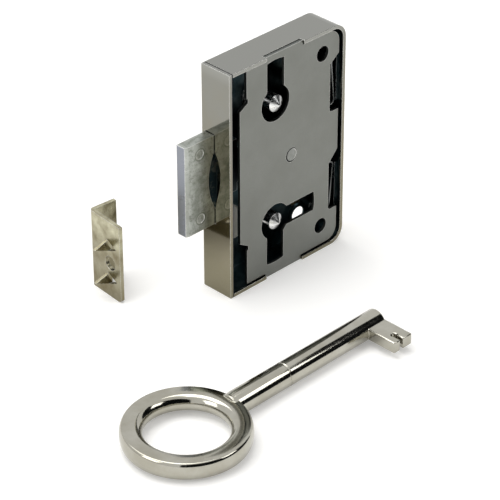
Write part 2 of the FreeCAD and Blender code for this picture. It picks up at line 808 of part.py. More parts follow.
def make_spring(side):
    """A hairpin leaf: one leg stands on the far wall, and the other curls in to press the lever."""
    body = new_body(side + "_spring")
    x, z = peg_place(side)
    bend = "dims.spring_bend"
    turn = -1 if side == "upper" else 1
    middle = "(dims.spring_front + dims.spring_width / 2)"
    fixed = "(%s + %s)" % (x, bend)
    foot = fixing(side, "dims.spring_foot_rise")
    spine = new_sketch(body, "XZ_Plane", "-(%s)" % middle)
    outline(spine, [(fixed, foot),
                    (fixed, z, bend, -turn),
                    (x, "%s %s %s" % (z, SIDES[side], bend), bend, -turn),
                    ("%s - %s" % (x, bend), z),
                    ("%s - dims.spring_knee_inset" % wall_right, fixing(side, "dims.spring_knee_rise"), "dims.spring_curl", turn),
                    ("%s - dims.spring_tip_inset" % wall_right, fixing(side, "dims.spring_tip_rise"))], closed=False)
    profile = new_sketch(body, "XY_Plane", foot)
    outline(profile, rectangle("%s - dims.spring_sheet / 2" % fixed, "dims.spring_front",
                               "%s + dims.spring_sheet / 2" % fixed, "dims.spring_front + dims.spring_width"))
    doc.recompute()
    leaf = body.newObject("PartDesign::AdditivePipe", side + "_spring_leaf")
    leaf.Profile = profile
    leaf.Spine = (spine, ["Edge%d" % (index + 1) for index in range(len(spine.Shape.Edges))])
    leaf.Transition = "Right corner"
    doc.recompute()
    return body


# Ward bridges

slit_depth_in_lock = "(%s - dims.slit_place)" % collar_front
ward_tip_x = "(dims.key_backset + dims.bit_reach - dims.slit_depth + dims.ward_slit_gap)"


def ward_tenon(side, gap):
    """The tenon of a ward pillar in the back plate, or with a gap its hole."""
    low = rise(side, "dims.post_pitch / 2 - dims.ward_tenon_half - %s" % gap)
    high = rise(side, "dims.post_pitch / 2 + dims.ward_tenon_half + %s" % gap)
    left = "dims.ward_pillar_left - %s" % gap
    right = "dims.ward_pillar_left + dims.ward_pillar_sheet + %s" % gap
    return rectangle(left, low, right, high)


def make_ward(side):
    """A bent strip: a pillar tenoned in the back plate, and a finger pointed at the key post."""
    body = new_body(side + "_ward_bridge")
    middle = post_height(side)
    low = "%s - dims.ward_half_width" % middle
    high = "%s + dims.ward_half_width" % middle
    right = "(dims.ward_pillar_left + dims.ward_pillar_sheet)"
    finger_front = "(%s - dims.ward_finger_sheet / 2)" % slit_depth_in_lock
    slab(body, finger_front, "dims.ward_finger_sheet",
         [(ward_tip_x, middle),
          ("%s + dims.ward_point" % ward_tip_x, low),
          (right, low), (right, high),
          ("%s + dims.ward_point" % ward_tip_x, high)])
    slab(body, finger_front, "%s - %s" % (floor_level, finger_front),
         rectangle("dims.ward_pillar_left", low, right, high))
    slab(body, finger_front, "dims.case_depth - %s" % finger_front, ward_tenon(side, "0"))
    return body


# Key

def make_key():
    """The key, lying flat: ring bow, shank bored for the posts, and a bit with a ward slit."""
    body = new_body("key", "dims.key_x", "dims.key_y", "dims.shank_radius")
    bind(body, "Placement.Rotation.Angle", "dims.key_turn")
    section = outline(new_sketch(body, "XZ_Plane"), bow_section())
    bow = body.newObject("PartDesign::Revolution", "key_bow")
    bow.Profile = section
    bow.ReferenceAxis = (section, ["V_Axis"])
    bow.Angle = 360
    doc.recompute()
    turn_shank(body)
    half_bit = "(dims.bit_thickness / 2)"
    edge = "(-sqrt(dims.bit_reach ^ 2 - %s ^ 2))" % half_bit
    bit = outline(new_sketch(body, "YZ_Plane", "dims.key_length - dims.bit_width"),
                  [("0", "-%s" % half_bit),
                   ("0", half_bit),
                   (edge, half_bit, "dims.bit_reach", 1),
                   (edge, "-%s" % half_bit)])
    extrude(body, bit, "dims.bit_width")
    cut_bit(body)
    bore = circle(new_sketch(body, "YZ_Plane", "dims.key_length - dims.key_bore_depth"),
                  "0", "0", "dims.key_bore_radius")
    extrude(body, bore, "dims.key_bore_depth + 1", cut=True, reverse=True)
    return body


def bow_section():
    """The ring's section: flat on both faces, with two bevels towards each waist."""
    half = "(dims.bow_thickness / 2)"
    shoulder = "(dims.bow_shoulder * %s)" % half
    upper = [("dims.bow_radius", "0"),
             ("dims.bow_shoulder_outer", shoulder),
             ("dims.bow_flat_outer", half),
             ("dims.bow_flat_inner", half),
             ("dims.bow_shoulder_inner", shoulder),
             ("dims.bow_hole_radius", "0")]
    lower = [(point[0], "-%s" % point[1]) for point in upper[1:-1]]
    return upper + lower[::-1]


def turn_shank(body):
    """The round shank, with a fine line turned in it and a rounded end."""
    line_left = "(dims.shank_line_place - dims.shank_line_width / 2)"
    line_right = "(dims.shank_line_place + dims.shank_line_width / 2)"
    neck = "(dims.shank_radius - dims.shank_line_depth)"
    profile = outline(new_sketch(body, "XY_Plane"),
                      [("dims.shank_root", "0"),
                       ("dims.key_length", "0"),
                       ("dims.key_length", "dims.shank_radius - dims.shank_round"),
                       ("dims.key_length - dims.shank_round", "dims.shank_radius"),
                       (line_right, "dims.shank_radius"),
                       (line_right, neck), (line_left, neck),
                       (line_left, "dims.shank_radius"),
                       ("dims.shank_root", "dims.shank_radius")])
    shank = body.newObject("PartDesign::Revolution", "key_shank")
    shank.Profile = profile
    shank.ReferenceAxis = (profile, ["H_Axis"])
    shank.Angle = 360
    doc.recompute()


def cut_bit(body):
    """The ward slit in the bit's end, and a fine groove down its near flank."""
    middle = "dims.key_length - dims.slit_place"
    half = "(dims.slit_width / 2)"
    depth = "(-(dims.bit_reach - dims.slit_depth))"
    slit = outline(new_sketch(body, "XY_Plane", "dims.bit_thickness"),
                   [("%s - %s" % (middle, half), "-dims.bit_reach - 1"),
                    ("%s + %s" % (middle, half), "-dims.bit_reach - 1"),
                    ("%s + %s" % (middle, half), "%s - %s" % (depth, half), half, 1),
                    (middle, depth, half, 1),
                    ("%s - %s" % (middle, half), "%s - %s" % (depth, half))])
    extrude(body, slit, "dims.bit_thickness * 2", cut=True)
    groove = outline(new_sketch(body, "YZ_Plane", "dims.key_length - dims.bit_width - 1"),
                     rectangle("-dims.bit_reach - 1", "-dims.bit_groove_width / 2",
                               "-dims.shank_radius - dims.shank_round", "dims.bit_groove_width / 2"))
    extrude(body, groove, "1 + dims.bit_groove_depth", cut=True, reverse=True)


# Strike plate

def make_strike():
    """An angle of sheet: the leg with claws is screwed down, and the bolt goes behind the other."""
    body = new_body("strike_plate", "dims.strike_x", "dims.strike_y")
    bind(body, "Placement.Rotation.Angle", "dims.strike_turn")
    plan = outline(new_sketch(body, "XY_Plane"),
                   [("0", "0"),
                    ("0", "-dims.strike_leg"),
                    ("dims.strike_sheet", "-dims.strike_leg"),
                    ("dims.strike_sheet", "-dims.strike_sheet"),
                    ("dims.strike_catch", "-dims.strike_sheet"),
                    ("dims.strike_catch", "0")])
    extrude(body, plan, "dims.strike_height")
    upright = value("dims.strike_height")
    dress(body, "Fillet", lambda edge: near(edge.BoundBox.ZLength, upright) and near(edge.BoundBox.XMax, 0)
          and near(edge.BoundBox.YMin, 0), "dims.strike_fold")
    end_y = value("-dims.strike_leg")
    dress(body, "Fillet", lambda edge: near(edge.BoundBox.ZMax, 0) and near(edge.BoundBox.YMax, end_y)
          and not near(edge.BoundBox.XLength, 0), "dims.strike_corner")
    hole = circle(new_sketch(body, "YZ_Plane", "-1"), "-dims.strike_hole_place", "dims.strike_hole_rise",
                  "dims.strike_hole_radius")
    extrude(body, hole, "dims.strike_sheet + 2", cut=True, reverse=True)
    for direction in ("+", "-"):
        add_claw(body, "(dims.strike_hole_rise %s dims.claw_pitch / 2)" % direction)
    return body


def add_claw(body, middle):
    """A pointed tooth lanced out of the leg, beside the hole that it left."""
    low = "%s - dims.claw_base / 2" % middle
    high = "%s + dims.claw_base / 2" % middle
    opening = outline(new_sketch(body, "YZ_Plane", "-1"),
                      [("-dims.claw_place - dims.claw_sheet", low),
                       ("-dims.claw_place - dims.claw_sheet", high),
                       ("-dims.claw_place - dims.claw_length", middle)])
    extrude(body, opening, "dims.strike_sheet + 2", cut=True, reverse=True)
    tooth = outline(new_sketch(body, "XZ_Plane", "dims.claw_place"),
                    [("dims.strike_sheet", low),
                     ("dims.strike_sheet", high),
                     ("0", high),
                     ("-dims.claw_length", middle),
                     ("0", low)])
    extrude(body, tooth, "dims.claw_sheet")


make_case()
make_cover()
for end in SIDES:
    make_post(end)
make_centre_rivet()
make_bolt()
for end in SIDES:
    make_lever(end)
    make_lever_pin(end)
    make_spring(end)
    make_spring_peg(end)
    make_ward(end)
make_key()
make_strike()
doc.recompute()

for item in doc.Objects:
    if "Invalid" in item.State or "Error" in item.State:
        raise RuntimeError("%s did not recompute: %s" % (item.Label, item.State))
for node in nodes:
    if node.Shape.isNull() or not node.Shape.isValid() or not node.Shape.Solids:
        raise RuntimeError("%s has no valid solid" % node.Label)

os.makedirs("parts", exist_ok=True)
for node in nodes:
    node.Shape.exportStep(os.path.join("parts", node.Label + ".step"))
    box = node.Shape.BoundBox
    print("%-20s solids %d volume %9.2f  x %7.2f %7.2f  y %7.2f %7.2f  z %7.2f %7.2f" % (
        node.Label, len(node.Shape.Solids), node.Shape.Volume,
        box.XMin, box.XMax, box.YMin, box.YMax, box.ZMin, box.ZMax))
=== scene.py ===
import math

import bmesh
import bpy
from mathutils import Matrix, Vector


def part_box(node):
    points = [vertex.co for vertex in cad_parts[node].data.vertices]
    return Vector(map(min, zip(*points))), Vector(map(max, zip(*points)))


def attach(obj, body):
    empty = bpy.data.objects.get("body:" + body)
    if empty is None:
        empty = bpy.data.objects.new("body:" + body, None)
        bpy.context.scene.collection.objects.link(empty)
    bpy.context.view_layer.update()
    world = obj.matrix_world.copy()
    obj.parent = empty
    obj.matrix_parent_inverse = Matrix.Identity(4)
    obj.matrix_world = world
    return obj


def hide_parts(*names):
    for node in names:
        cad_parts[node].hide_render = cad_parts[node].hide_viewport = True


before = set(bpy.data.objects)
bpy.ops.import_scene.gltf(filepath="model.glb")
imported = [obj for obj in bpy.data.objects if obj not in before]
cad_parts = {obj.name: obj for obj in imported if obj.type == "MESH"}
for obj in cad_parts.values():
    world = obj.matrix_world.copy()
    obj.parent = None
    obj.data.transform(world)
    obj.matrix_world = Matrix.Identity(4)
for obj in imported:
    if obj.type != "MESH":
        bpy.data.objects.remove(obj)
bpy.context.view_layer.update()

# Lengths are in metres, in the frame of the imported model
MILLIMETRE = 0.001

# The camera stands where the photographer stood
CAMERA_PLACE = (-0.364773, -0.358578, 0.328565)
CAMERA_AZIMUTH = -44.848
CAMERA_ELEVATION = 32.477
CAMERA_ROLL = -0.148
CAMERA_LENS = 180
CAMERA_SENSOR = 36

# The lamps: name, place, target, width, height and watts
LAMPS = (
    ("lamp_above", (-0.1, 0.25, 0.9), (0, 0, 0), 0.8, 0.8, 6.0),
    ("lamp_left", (-0.9, 0.2, 0.5), (0, 0, 0.03), 0.5, 0.5, 2.6),
    ("lamp_right", (0.47, -0.77, 0.72), (0, 0, 0.03), 0.5, 0.36, 2.2),
)

# The unlit side of the room as two cards: name, centre and the two half sides
CARDS = (
    ("card_front", (-0.25, -1.3, 0.85), (1.55, 0, 0), (0, 0, 0.84)),
    ("card_right", (1.3, -0.8, 0.85), (0, 0.5, 0), (0, 0, 0.84)),
)

# The floor, which lies a hair below the part and glows a little, and the world's light on the object
FLOOR_DROP = 0.02 * MILLIMETRE
FLOOR_HALF = 3
FLOOR_GLOW = 0.22
WORLD_LEVEL = 0.45
WHITE = (1, 1, 1, 1)

# Colours of the finishes, as linear light
# Nickel of the case by height: darker and warmer low down and cooler higher up as painted reflection,
# lighter on the top band as painted light
NICKEL_TOP_LIT = (0.268, 0.270, 0.250, 1)
NICKEL_REFLECTION_COOL = (0.225, 0.224, 0.200, 1)
# Painted reflection of the bolt on the forend in front of it
NICKEL_BOLT_REFLECTION = (0.36, 0.335, 0.255, 1)
NICKEL_REFLECTION_WARM = (0.226, 0.204, 0.148, 1)
NICKEL_REFLECTION_DARK = (0.205, 0.187, 0.128, 1)
SATIN_LIGHT = (0.222, 0.229, 0.212, 1)
SATIN_DARK = (0.178, 0.183, 0.167, 1)
RIVET_LIGHT = (0.262, 0.270, 0.256, 1)
# Painted shade on the cover's cut faces
CUT_FACE_SHADE = (0.105, 0.112, 0.105, 1)
# Pale colour of painted highlights
HIGHLIGHT_PALE = (0.60, 0.60, 0.57, 1)
# Pale tab colour, painted light
TAB_PAINTED_LIGHT = (0.86, 0.85, 0.78, 1)
# Painted shade inside the case
INSIDE_SHADE_DARK = (0.028, 0.052, 0.058, 1)
INSIDE_SHADE_LIGHT = (0.085, 0.115, 0.120, 1)
# Painted shade in gaps
GAP_SHADE = (0.006, 0.008, 0.008, 1)
# Pin tones; the light one is the colour of painted spokes of highlight
PIN_LIGHT = (0.93, 0.93, 0.91, 1)
PIN_DARK = (0.40, 0.41, 0.41, 1)
# Painted highlights on steel edges
STEEL_HIGHLIGHT = (0.60, 0.60, 0.58, 1)
SHEARED = (0.24, 0.25, 0.25, 1)
# Springs, levers and brass wards inside the case, darkened far below their metals as painted shade
SPRING_LIGHT = (0.050, 0.060, 0.062, 1)
SPRING_DARK = (0.022, 0.032, 0.035, 1)
LEVER_LIGHT = (0.060, 0.065, 0.065, 1)
LEVER_DARK = (0.018, 0.024, 0.026, 1)
BRASS_LIGHT = (0.30, 0.26, 0.16, 1)
BRASS_DARK = (0.12, 0.10, 0.055, 1)
CAST_LIGHT = (0.440, 0.460, 0.430, 1)
CAST_DARK = (0.165, 0.178, 0.148, 1)
# Painted highlights on cast edges
CAST_HIGHLIGHT = (0.85, 0.85, 0.83, 1)
CAST_END = (0.245, 0.260, 0.295, 1)
KEY_LIGHT = (0.44, 0.430, 0.378, 1)
KEY_DARK = (0.36, 0.345, 0.290, 1)
STRIKE_LIGHT = (0.300, 0.280, 0.198, 1)
STRIKE_DARK = (0.155, 0.128, 0.066, 1)
# Painted light on the strike's upper part
STRIKE_TOP_LIT = (0.56, 0.54, 0.39, 1)
FLOOR_WARM = (0.88, 0.865, 0.83, 1)
FLOOR_PALE = (0.90, 0.90, 0.90, 1)
CARD_BLACK = (0.012, 0.014, 0.015, 1)

# Sizes of the case: the round of its far corners, and how deep the outer finish goes into its sheet
CASE_CORNER = 4.0 * MILLIMETRE
WALL_SKIN = 0.5 * MILLIMETRE

# Marks on the case: the folded seam behind the forend's face and the heights between which the bolt's
# slot lies, both drawn as lines of painted shade, and how much the painted reflection of the bolt in the
# forend slants
SEAM_START = 0.78 * MILLIMETRE
SEAM_END = 1.12 * MILLIMETRE
SLOT_LOW = 18.5 * MILLIMETRE
SLOT_HIGH = 43.1 * MILLIMETRE
REFLECTION_SLOPE = 0.88

# Marks on the bolt: places are measured from its end, and heights upwards from the floor
MOUTH_START = 9.02 * MILLIMETRE
MOUTH_END = 9.4 * MILLIMETRE
SCOOP_START = 6.4 * MILLIMETRE
SCOOP_END = 11 * MILLIMETRE
SCOOP_LOW = 22.0 * MILLIMETRE
SCOOP_HIGH = 39.6 * MILLIMETRE
EJECTOR_PLACE = 4.6 * MILLIMETRE
EJECTOR_HEIGHTS = (22.2 * MILLIMETRE, 39.4 * MILLIMETRE)
EJECTOR_RADIUS = 1.5 * MILLIMETRE

# Sizes of the key in millimetres, from the middle of its bow, and its angles in degrees. A power of
# two makes the bow's side a part of an ellipse, a higher one makes it squarer
BOW_RADIUS = 14.8
BOW_FLAT_OUTER = 14.0
BOW_FLAT_INNER = 11.4
BOW_HOLE_RADIUS = 9.6
BOW_HALF_THICK = 2.15
BOW_OUTER_POWER = 2.1
BOW_INNER_POWER = 1.85
KEY_LENGTH = 61.3
KEY_TURN = 0.2
KEY_EDGE = 0.28
KEY_SHARP_ANGLE = 32
KEY_EASED_ANGLE = 60
SHANK_RADIUS = 3.0
SHANK_START = 13.0
SHANK_ROUND = 0.5
LINE_PLACE = 30.1
LINE_DEPTH = 0.14
BORE_RADIUS = 2.2
BORE_DEPTH = 13.0
BORE_TIP = 0.8
BORE_ROUND = 0.15
BIT_WIDTH = 5.9
BIT_REACH = 10.85
BIT_ROOT = 1.5
BIT_HALF_THICK = 1.45
SLIT_PLACE = 3.4
SLIT_HALF = 0.5
SLIT_END = 8.35
SLIT_HOLE_RADIUS = 0.72
SLIT_OPENING = 44


class Finish:
    """The nodes of a procedural material or of the world, with short calls that add them."""

    def __init__(self, owner):
        self.owner = owner
        owner.use_nodes = True
        self.tree = owner.node_tree
        self.tree.nodes.clear()

    def add(self, kind, inputs=None, **settings):
        """One shader node. An input is a number, a colour or another node's output."""
        made = self.tree.nodes.new("ShaderNode" + kind)
        for name, value in settings.items():
            setattr(made, name, value)
        for key, value in (inputs or {}).items():
            if isinstance(value, bpy.types.NodeSocket):
                self.tree.links.new(value, made.inputs[key])
            else:
                made.inputs[key].default_value = value
        return made

    def where(self, centre=(0, 0, 0), stretch=(1, 1, 1)):
        """Places on the body, in metres from a centre, stretched along the axes."""
        place = self.add("TexCoord").outputs["Object"]
        shift = [-c * s for c, s in zip(centre, stretch)]
        return self.add("Mapping", {"Vector": place, "Location": shift, "Scale": stretch}).outputs[0]

    def noise(self, place, size, detail=3.0, rough=0.55):
        """Soft cloudy noise whose blotches are about that size across."""
        inputs = {"Vector": place, "Scale": 1 / size, "Detail": detail, "Roughness": rough}
        return self.add("TexNoise", inputs).outputs["Fac"]

    def spread(self, value, low, high, start=0.0, end=1.0):
        """Takes a value between low and high to one between start and end."""
        inputs = {"Value": value, "From Min": low, "From Max": high, "To Min": start, "To Max": end}
        return self.add("MapRange", inputs).outputs["Result"]

    def mix(self, factor, first, second):
        """First colour where the factor is nought, second where it is one."""
        return self.add("Mix", {0: factor, 6: first, 7: second}, data_type="RGBA").outputs[2]

    def parts(self, vector):
        """The three numbers of a vector."""
        return self.add("SeparateXYZ", {0: vector}).outputs

    def math(self, operation, first, second=0.0, clamp=False):
        """Arithmetic on two values."""
        return self.add("Math", {0: first, 1: second}, operation=operation, use_clamp=clamp).outputs[0]

    def both(self, first, second):
        """One where both masks are one."""
        return self.math("MULTIPLY", first, second)

    def from_axis(self, place):
        """Distance from the line along Y through the place's own nought."""
        axes = self.parts(place)
        squares = [self.math("POWER", axes[axis], 2.0) for axis in (0, 2)]
        return self.math("SQRT", self.math("ADD", *squares))

    def edges(self, radius):
        """One on edges about that wide, and nought on open faces."""
        rounded = self.add("Bevel", {"Radius": radius}, samples=4).outputs[0]
        normal = self.add("NewGeometry").outputs["Normal"]
        product = self.add("VectorMath", {0: rounded, 1: normal}, operation="DOT_PRODUCT")
        return self.spread(product.outputs["Value"], 0.995, 0.90)

    def bumps(self, height, depth, radius):
        """Surface direction from a height map of that depth, with edges rounded by a radius."""
        rounded = self.add("Bevel", {"Radius": radius}, samples=4).outputs[0]
        inputs = {"Height": height, "Distance": depth, "Strength": 1.0, "Normal": rounded}
        return self.add("Bump", inputs).outputs[0]

    def end(self, shader, kind="OutputMaterial"):
        """Ends the nodes in a shader, and gives back what they dress."""
        self.add(kind, {"Surface": shader.outputs[0]})
        return self.owner

    def metal(self, colour, roughness, normal, share=1.0):
        """Ends the nodes in a surface that is metal in that share."""
        inputs = {"Base Color": colour, "Metallic": share, "Roughness": roughness, "Normal": normal}
        return self.end(self.add("BsdfPrincipled", inputs))


def new_finish(name):
    """The still empty nodes of a new material."""
    return Finish(bpy.data.materials.new(name))


def inside_box(finish, low, high, inset=0.0):
    """One inside a box drawn in by an inset, and nought on its outer faces."""
    centre = (low + high) / 2
    half = (high - low) / 2
    place = finish.where(centre=centre)
    away = finish.parts(finish.add("VectorMath", {0: place}, operation="ABSOLUTE").outputs[0])
    masks = [finish.math("LESS_THAN", away[axis], half[axis] - inset) for axis in range(3)]
    return finish.both(finish.both(masks[0], masks[1]), masks[2])


def inside_corners(finish, low, high):
    """One inside the case's two far corners, which are round, and nought on their outer faces."""
    middle = (low.z + high.z) / 2
    away = finish.parts(finish.where(centre=(high.x - CASE_CORNER, 0, middle)))
    above = finish.math("SUBTRACT", finish.math("ABSOLUTE", away[2]), middle - low.z - CASE_CORNER)
    beyond = [finish.math("MAXIMUM", part, 0.0) for part in (away[0], above)]
    squares = [finish.math("POWER", part, 2.0) for part in beyond]
    return finish.math("LESS_THAN", finish.math("ADD", *squares), (CASE_CORNER - WALL_SKIN) ** 2)


def painted_bolt_reflection(finish, place, low):
    """Painted reflection of the bolt: a lighter part of the forend in front of it, with soft slanting
    ends.
    """
    bolt_low, bolt_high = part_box("bolt")
    axes = finish.parts(place)
    before = finish.math("SUBTRACT", bolt_low.y, axes[1])
    slanted = finish.math("SUBTRACT", axes[2], finish.math("MULTIPLY", before, REFLECTION_SLOPE))
    outer_soft, inner_soft_low, inner_soft_high = 0.8 * MILLIMETRE, 2.4 * MILLIMETRE, 1.6 * MILLIMETRE
    above = finish.spread(slanted, bolt_low.z - outer_soft, bolt_low.z + inner_soft_low)
    below = finish.spread(slanted, bolt_high.z - inner_soft_high, bolt_high.z + outer_soft, 1, 0)
    outer = finish.math("LESS_THAN", axes[0], low.x + 0.02 * MILLIMETRE)
    in_front = finish.math("GREATER_THAN", before, 0.0)
    return finish.both(finish.both(above, below), finish.both(outer, in_front))


def shaded_lines(finish, low, high):
    """Painted shade along the case's folded seam and along the edges of the slot that the bolt comes out
    of.
    """
    seam_low = Vector((low.x + SEAM_START, low.y - MILLIMETRE, low.z - MILLIMETRE))
    seam_high = Vector((low.x + SEAM_END, high.y - 0.5 * MILLIMETRE, high.z + MILLIMETRE))
    slot_low = Vector((low.x + 0.05 * MILLIMETRE, low.y + 1.5 * MILLIMETRE, SLOT_LOW))
    slot_high = Vector((low.x + MILLIMETRE, high.y, SLOT_HIGH))
    return [inside_box(finish, seam_low, seam_high), inside_box(finish, slot_low, slot_high)]


def rolled_nickel():
    """Nickel plate on the folded case: near mirror and cloudy outside, with painted reflection, light and
    highlights, and painted shade inside.
    """
    low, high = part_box("case_tray")
    finish = new_finish("rolled_nickel")
    place = finish.where()
    cloud = finish.noise(place, 12 * MILLIMETRE, 3)
    drawn = finish.noise(finish.where(stretch=(1, 1, 0.05)), 0.4 * MILLIMETRE, 4)
    grain = finish.noise(place, 0.18 * MILLIMETRE, 2)
    height = finish.parts(place)[2]
    # Painted reflection and light by height: darker and warmer low down, cooler higher up, lighter on the
    # top band
    drift = finish.spread(cloud, 0.3, 0.7, -9 * MILLIMETRE, 9 * MILLIMETRE)
    lift = finish.math("ADD", height, drift)
    warm_reflection = finish.mix(finish.spread(lift, 4 * MILLIMETRE, 28 * MILLIMETRE), NICKEL_REFLECTION_DARK, NICKEL_REFLECTION_WARM)
    tint = finish.mix(finish.spread(lift, 26 * MILLIMETRE, 56 * MILLIMETRE), warm_reflection, NICKEL_REFLECTION_COOL)
    tint = finish.mix(finish.spread(height, 57 * MILLIMETRE, 59.7 * MILLIMETRE), tint, NICKEL_TOP_LIT)
    # Painted reflection of the bolt on the forend in front of it
    tint = finish.mix(painted_bolt_reflection(finish, place, low), tint, NICKEL_BOLT_REFLECTION)
    # Painted highlights along the edges
    edge_highlight = finish.edges(0.3 * MILLIMETRE)
    outside = finish.mix(finish.math("MULTIPLY", edge_highlight, 0.75), tint, HIGHLIGHT_PALE)
    # Painted shade along the seam and the slot's edges
    for line in shaded_lines(finish, low, high):
        outside = finish.mix(line, outside, GAP_SHADE)
    # Painted shade inside the case, in darker and lighter patches
    spots = finish.spread(finish.noise(place, 3 * MILLIMETRE, 4), 0.45, 0.7)
    painted_shade = finish.mix(spots, INSIDE_SHADE_DARK, INSIDE_SHADE_LIGHT)
    inside = finish.both(inside_box(finish, low, high, WALL_SKIN), inside_corners(finish, low, high))
    colour = finish.mix(inside, outside, painted_shade)
    polish = finish.spread(cloud, 0.3, 0.7, 0.035, 0.075)
    rough = finish.math("ADD", polish, finish.math("MULTIPLY", inside, 0.3))
    relief = finish.math("ADD", finish.math("MULTIPLY", drawn, 0.6), grain)
    return finish.metal(colour, rough, finish.bumps(relief, 0.0009 * MILLIMETRE, 0.22 * MILLIMETRE))


def satin_plate():
    """Satin on the cover: dull grey with faint blotches, painted highlights on front edges, painted shade
    on cut faces, and a pale tab that is painted light.
    """
    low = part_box("cover_plate")[0]
    finish = new_finish("satin_plate")
    place = finish.where()
    cloud = finish.noise(place, 10 * MILLIMETRE, 3)
    grain = finish.noise(place, 0.25 * MILLIMETRE, 3, 0.7)
    speck = finish.noise(place, 0.6 * MILLIMETRE, 4, 0.7)
    tint = finish.mix(finish.spread(cloud, 0.3, 0.7), SATIN_DARK, SATIN_LIGHT)
    tint = finish.mix(finish.spread(speck, 0.45, 0.8, 0, 0.35), tint, SATIN_DARK)
    # Painted highlights along the front edges
    edge_highlight = finish.edges(0.22 * MILLIMETRE)
    front = finish.mix(finish.math("MULTIPLY", edge_highlight, 0.9), tint, HIGHLIGHT_PALE)
    # Painted shade on the cut faces behind the front
    depth = finish.math("SUBTRACT", finish.parts(place)[1], low.y)
    behind = finish.spread(depth, 0.12 * MILLIMETRE, 0.3 * MILLIMETRE)
    cut = finish.mix(behind, front, CUT_FACE_SHADE)
    # The tab behind the plate is pale and not metal: painted light where a light patch shows in the gap
    # at the cover's left edge
    bare = finish.math("LESS_THAN", depth, MILLIMETRE)
    colour = finish.mix(bare, TAB_PAINTED_LIGHT, cut)
    satin = finish.spread(cloud, 0.3, 0.7, 0.34, 0.42)
    rough = finish.math("ADD", satin, finish.spread(grain, 0.3, 0.7, 0, 0.08))
    return finish.metal(colour, rough, finish.bumps(grain, 0.004 * MILLIMETRE, 0.1 * MILLIMETRE), bare)


def turned_pin(node):
    """A turned pin: faint rings about its own axis, which lies along Y, painted spokes of highlight and
    painted highlights on its edges.
    """
    low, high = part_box(node)
    finish = new_finish("turned_" + node)
    place = finish.where(centre=(low + high) / 2)
    across = finish.parts(place)
    radius = finish.from_axis(place)
    ring_gap = 0.22 * MILLIMETRE
    rings = finish.math("SINE", finish.math("MULTIPLY", radius, 2 * math.pi / ring_gap))
    around = finish.math("ARCTAN2", across[0], across[2])
    fan = finish.add("CombineXYZ", {0: around, 1: finish.math("MULTIPLY", radius, 150.0)}).outputs[0]
    spokes = finish.noise(fan, 0.8, 3)
    smear = finish.noise(place, 1.1 * MILLIMETRE, 3)
    tint = finish.mix(finish.spread(spokes, 0.35, 0.65), PIN_DARK, PIN_LIGHT)
    tint = finish.mix(finish.spread(smear, 0.4, 0.75, 0, 0.5), tint, PIN_DARK)
    # Painted highlights along the edges
    edge_highlight = finish.edges(0.12 * MILLIMETRE)
    colour = finish.mix(finish.math("MULTIPLY", edge_highlight, 0.35), tint, HIGHLIGHT_PALE)
    film = finish.spread(smear, 0.3, 0.7, 0.18, 0.32)
    rough = finish.math("ADD", film, finish.math("MULTIPLY", rings, 0.03))
    return finish.metal(colour, rough, finish.bumps(rings, 0.002 * MILLIMETRE, 0.08 * MILLIMETRE))


def rivet_head():
    """The riveted disc in the cover: a little lighter than it, with a painted highlight on one side and a
    ring of painted shade round it, thicker on the other side.
    """
    low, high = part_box("centre_rivet")
    finish = new_finish("rivet_head")
    # The centre is shifted 0.1 mm to the right, so that the ring of painted shade is thicker on the left
    place = finish.where(centre=(low + high) / 2 + Vector((0.1 * MILLIMETRE, 0, 0)))
    radius = finish.from_axis(place)
    smear = finish.noise(place, 1.2 * MILLIMETRE, 4)
    tint = finish.mix(finish.spread(smear, 0.3, 0.7), SATIN_DARK, RIVET_LIGHT)
    turned = finish.spread(radius, 1.30 * MILLIMETRE, 1.52 * MILLIMETRE)
    # Painted highlight on the right side of the turned rim
    highlight_side = finish.spread(finish.parts(place)[0], 0, MILLIMETRE, 0, 0.7)
    tint = finish.mix(finish.both(turned, highlight_side), tint, HIGHLIGHT_PALE)
    # Painted shade in a ring round the head
    seat = finish.spread(radius, 1.55 * MILLIMETRE, 1.68 * MILLIMETRE)
    colour = finish.mix(seat, tint, GAP_SHADE)
    rough = finish.spread(smear, 0.3, 0.7, 0.28, 0.42)
    return finish.metal(colour, rough, finish.bumps(smear, 0.012 * MILLIMETRE, 0.1 * MILLIMETRE))


def stamped_steel(name, light, dark, along, rough_low, rough_high, edge_share, front=None):
    """Rolled strip with lines along one axis, a film of oil, painted highlights on its edges and maybe a
    sheared front.
    """
    finish = new_finish(name)
    lines = finish.noise(finish.where(stretch=along), 0.3 * MILLIMETRE, 4)
    film = finish.noise(finish.where(), 4 * MILLIMETRE, 3)
    tint = finish.mix(finish.spread(film, 0.35, 0.65), dark, light)
    streaked = finish.mix(finish.spread(lines, 0.5, 0.8, 0, 0.5), tint, dark)
    # Painted highlights along the edges
    edge_highlight = finish.edges(0.12 * MILLIMETRE)
    colour = finish.mix(finish.math("MULTIPLY", edge_highlight, edge_share), streaked, STEEL_HIGHLIGHT)
    if front is not None:
        depth = finish.parts(finish.where())[1]
        sheared = finish.math("LESS_THAN", depth, front + 0.06 * MILLIMETRE)
        colour = finish.mix(sheared, colour, SHEARED)
    rough = finish.spread(film, 0.3, 0.7, rough_low, rough_high)
    return finish.metal(colour, rough, finish.bumps(lines, 0.002 * MILLIMETRE, 0.08 * MILLIMETRE))


def ring_mark(finish, centre, radius):
    """A fine ring round a point of a face that looks along Y."""
    place = finish.where(centre=centre)
    off = finish.math("ABSOLUTE", finish.math("SUBTRACT", finish.from_axis(place), radius))
    on_face = finish.math("LESS_THAN", finish.parts(place)[1], 0.05 * MILLIMETRE)
    return finish.both(finish.spread(off, 0.08 * MILLIMETRE, 0.2 * MILLIMETRE, 0.8, 0), on_face)


